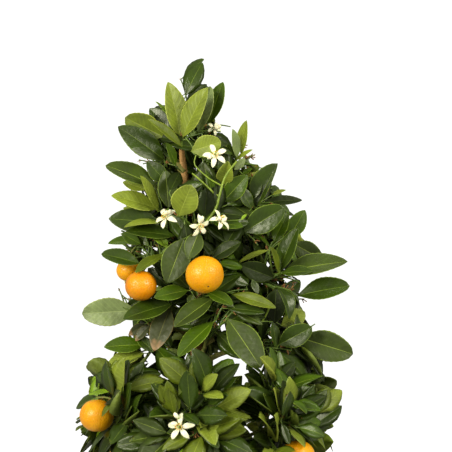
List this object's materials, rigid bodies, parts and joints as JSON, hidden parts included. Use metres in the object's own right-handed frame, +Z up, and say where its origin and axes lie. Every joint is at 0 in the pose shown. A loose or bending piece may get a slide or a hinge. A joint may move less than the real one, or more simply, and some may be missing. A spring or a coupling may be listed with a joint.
{
  "type": "calamondin orange tree in a pot",
  "caption": "Small evergreen citrus tree with glossy leaves, white blossom and round orange fruit, growing in a plain tapered clay pot.",
  "frame": {"origin": "centre of the pot's flat underside", "axes": "+Z up the trunk; +X to the right of somebody who stands in front of the tree, at -Y"},
  "size_m": [0.2755, 0.2495, 0.6815],
  "materials": {
    "clay": "unglazed terracotta, matt",
    "soil": "moist, crumbly potting soil",
    "bark": "thin tan bark",
    "foliage": "glossy dark green leaves, paler beneath"
  },
  "bodies": {
    "root": {"pot": "clay", "soil": "soil", "trunk": "bark", "bough_upper_left": "bark", "bough_upper_right": "bark", "bough_middle_left": "bark", "bough_middle_right": "bark", "bough_left": "bark", "bough_right": "bark", "bough_lower_left": "bark", "bough_lower_front": "bark", "bough_lower_right": "bark", "bough_upper_back_1": "bark", "bough_upper_back_2": "bark", "bough_middle_back_1": "bark", "bough_middle_back_2": "bark", "bough_middle_back_3": "bark", "bough_lower_back_1": "bark", "bough_lower_back_2": "bark", "bough_lower_back_3": "bark", "bough_skirt_1": "bark", "bough_skirt_2": "bark", "bough_skirt_3": "bark", "bough_skirt_4": "bark", "bough_skirt_5": "bark", "bough_skirt_6": "bark", "crown_tip": "foliage", "upper_left": "foliage", "upper_right": "foliage", "middle_left": "foliage", "front_heart": "foliage", "middle_right": "foliage", "left": "foliage", "front_low": "foliage", "right": "foliage", "lower_left": "foliage", "lower_front": "foliage", "lower_right": "foliage", "upper_back_1": "foliage", "upper_back_2": "foliage", "middle_back_1": "foliage", "middle_back_2": "foliage", "middle_back_3": "foliage", "lower_back_1": "foliage", "lower_back_2": "foliage", "lower_back_3": "foliage", "skirt_1": "foliage", "skirt_2": "foliage", "skirt_3": "foliage", "skirt_4": "foliage", "skirt_5": "foliage", "skirt_6": "foliage", "hem_1": "foliage", "hem_2": "foliage", "hem_3": "foliage"}
  },
  "joints": []
}
